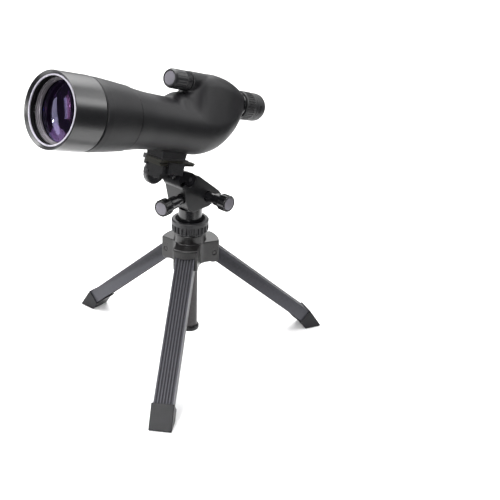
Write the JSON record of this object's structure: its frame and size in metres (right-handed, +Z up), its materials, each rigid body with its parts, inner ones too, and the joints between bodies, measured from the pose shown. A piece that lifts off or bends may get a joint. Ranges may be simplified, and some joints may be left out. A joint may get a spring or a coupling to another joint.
{
  "type": "spotting scope",
  "caption": "Straight-view zoom spotting scope with sliding sunshade, focus knob and zoom eyepiece, clamped on a folding table-top tripod with a pan and tilt head.",
  "frame": {"origin": "on the ground, at the middle of the bounding box seen from above", "axes": "+Z up; the scope looks towards -Y and upwards at rest; +X is to the right of someone looking through the eyepiece"},
  "size_m": [0.2934, 0.374, 0.3881],
  "materials": {
    "shade_black": "satin black anodised",
    "bright_ring": "machined bright edge",
    "inner_black": "matt black",
    "coated_glass": "coated optical glass",
    "rubber_armour": "fine-textured matt rubber",
    "ribbed_rubber": "matt rubber",
    "knob_plastic": "semi-gloss black",
    "moulded_plastic": "satin moulded",
    "satin_plastic": "satin",
    "gloss_black": "gloss black",
    "cap_grey": "satin grey disc",
    "leg_aluminium": "dark anodised",
    "steel": "machined",
    "brass": "turned brass"
  },
  "bodies": {
    "tripod": {"crown": "moulded_plastic", "column_collet": "inner_black", "leg_pin_1": "steel", "leg_pin_2": "steel", "leg_pin_3": "steel"},
    "leg_a": {"leg_1": "leg_aluminium", "foot_shoe_1": "ribbed_rubber"},
    "leg_b": {"leg_2": "leg_aluminium", "foot_shoe_2": "ribbed_rubber"},
    "leg_c": {"leg_3": "leg_aluminium", "foot_shoe_3": "ribbed_rubber"},
    "collar": {"locking_collar": "knob_plastic"},
    "column": {"centre_column": "leg_aluminium", "column_end_cap": "moulded_plastic", "pan_base": "gloss_black"},
    "head": {"head_body": "moulded_plastic", "tilt_pin": "steel"},
    "pan_lock": {"pan_lock_knob": "knob_plastic", "pan_lock_knob_cap": "cap_grey", "pan_lock_screw": "steel"},
    "tilt_lock": {"tilt_lock_knob": "knob_plastic", "tilt_lock_knob_cap": "cap_grey", "tilt_lock_screw": "steel"},
    "tilter": {"tilt_block": "satin_plastic", "clamp_base": "inner_black"},
    "jaw": {"clamp_jaw": "satin_plastic"},
    "clamp_wheel": {"clamp_knob": "knob_plastic", "clamp_screw": "steel"},
    "scope": {"front_barrel": "rubber_armour", "barrel_seam_ring": "inner_black", "prism_housing": "rubber_armour", "objective_tube": "inner_black", "objective_retaining_ring": "inner_black", "objective_front_lens": "coated_glass", "objective_spacer_ring": "inner_black", "objective_rear_lens": "coated_glass", "focus_seal_ring": "gloss_black", "eyepiece_socket": "gloss_black", "eyepiece_barrel": "inner_black", "eye_lens": "coated_glass", "eye_lens_ring": "inner_black", "mount_foot": "moulded_plastic", "thread_insert": "brass", "plate_pad": "ribbed_rubber", "quick_release_plate": "satin_plastic", "plate_screw": "steel"},
    "shade": {"sunshade": "shade_black", "sunshade_trim_ring": "bright_ring"},
    "focus_wheel": {"focus_knob": "knob_plastic", "focus_knob_cap": "cap_grey", "focus_screw": "steel"},
    "focus_carriage": {"prism_carriage": "inner_black", "porro_prism_rear": "coated_glass", "porro_prism_front": "coated_glass"},
    "zoom_wheel": {"zoom_ring": "ribbed_rubber"},
    "zoom_front_cell": {"zoom_front_lens_group": "coated_glass"},
    "zoom_rear_cell": {"zoom_rear_lens_group": "coated_glass"},
    "cup": {"eyecup": "ribbed_rubber"}
  },
  "joints": [
    {"name": "column_height", "type": "slide", "parent": "tripod", "child": "column", "axis": [0, 0, 1], "range_m": [0, 0.083]},
    {"name": "collar_turn", "type": "hinge", "parent": "tripod", "child": "collar", "pos_m": [0.03426, 0.01869, 0.17], "axis": [0, 0, 1], "range_deg": [0, 90]},
    {"name": "leg_fold_1", "type": "hinge", "parent": "tripod", "child": "leg_a", "pos_m": [0.04891, -0.00279, 0.1345], "axis": [0.8261, 0.5635, 0], "range_deg": [0, 45]},
    {"name": "leg_fold_2", "type": "hinge", "parent": "tripod", "child": "leg_b", "pos_m": [0.04553, 0.04212, 0.1345], "axis": [-0.9011, 0.4337, 0], "range_deg": [0, 45]},
    {"name": "leg_fold_3", "type": "hinge", "parent": "tripod", "child": "leg_c", "pos_m": [0.00833, 0.01674, 0.1345], "axis": [0.075, -0.9972, 0], "range_deg": [0, 45]},
    {"name": "pan", "type": "hinge", "parent": "column", "child": "head", "pos_m": [0.03426, 0.01869, 0.2], "axis": [0, 0, 1], "continuous": true},
    {"name": "pan_lock_turn", "type": "hinge", "parent": "head", "child": "pan_lock", "pos_m": [0.04176, -0.00231, 0.211], "axis": [0.1219, -0.9925, 0], "range_deg": [-30, 330]},
    {"name": "tilt_lock_turn", "type": "hinge", "parent": "head", "child": "tilt_lock", "pos_m": [0.05026, 0.03139, 0.2068], "axis": [1, 0, 0], "range_deg": [-30, 330]},
    {"name": "tilt", "type": "hinge", "parent": "head", "child": "tilter", "pos_m": [0.03426, 0.00279, 0.23492], "axis": [1, 0, 0], "range_deg": [-35, 20]},
    {"name": "clamp_jaw_travel", "type": "slide", "parent": "tilter", "child": "jaw", "axis": [-1, 0, 0], "range_m": [0, 0.003]},
    {"name": "clamp_knob_turn", "type": "hinge", "parent": "jaw", "child": "clamp_wheel", "pos_m": [0.01426, -0.01754, 0.2416], "axis": [-1, 0, 0], "range_deg": [0, 1080.5]},
    {"name": "plate_slide", "type": "slide", "parent": "tilter", "child": "scope", "axis": [0, 0.9542, -0.299], "range_m": [-0.01, 0.01]},
    {"name": "sunshade_slide", "type": "slide", "parent": "scope", "child": "shade", "axis": [0, -0.9542, 0.299], "range_m": [0, 0.026]},
    {"name": "focus_turn", "type": "hinge", "parent": "scope", "child": "focus_wheel", "pos_m": [0.03426, -0.00333, 0.34949], "axis": [0, 0.9542, -0.299], "range_deg": [-90.5, 540.5]},
    {"name": "focus_carriage_travel", "type": "slide", "parent": "scope", "child": "focus_carriage", "axis": [0, -0.9542, 0.299], "range_m": [-0.001, 0.006]},
    {"name": "zoom_turn", "type": "hinge", "parent": "scope", "child": "zoom_wheel", "pos_m": [0.03426, 0.10505, 0.29739], "axis": [0, 0.9542, -0.299], "range_deg": [0, 150.5]},
    {"name": "zoom_front_travel", "type": "slide", "parent": "scope", "child": "zoom_front_cell", "axis": [0, 0.9542, -0.299], "range_m": [0, 0.008]},
    {"name": "zoom_rear_travel", "type": "slide", "parent": "scope", "child": "zoom_rear_cell", "axis": [0, -0.9542, 0.299], "range_m": [0, 0.00601]},
    {"name": "eyecup_travel", "type": "slide", "parent": "scope", "child": "cup", "axis": [0, 0.9542, -0.299], "range_m": [0, 0.006]}
  ],
  "couplings": [
    {"joint": "clamp_knob_turn", "follows": "clamp_jaw_travel", "rad_per_m": 6283.2},
    {"joint": "focus_turn", "follows": "focus_carriage_travel", "rad_per_m": 1570.8},
    {"joint": "zoom_turn", "follows": "zoom_front_travel", "rad_per_m": 327.25},
    {"joint": "zoom_rear_travel", "follows": "zoom_front_travel", "ratio": 0.75}
  ]
}
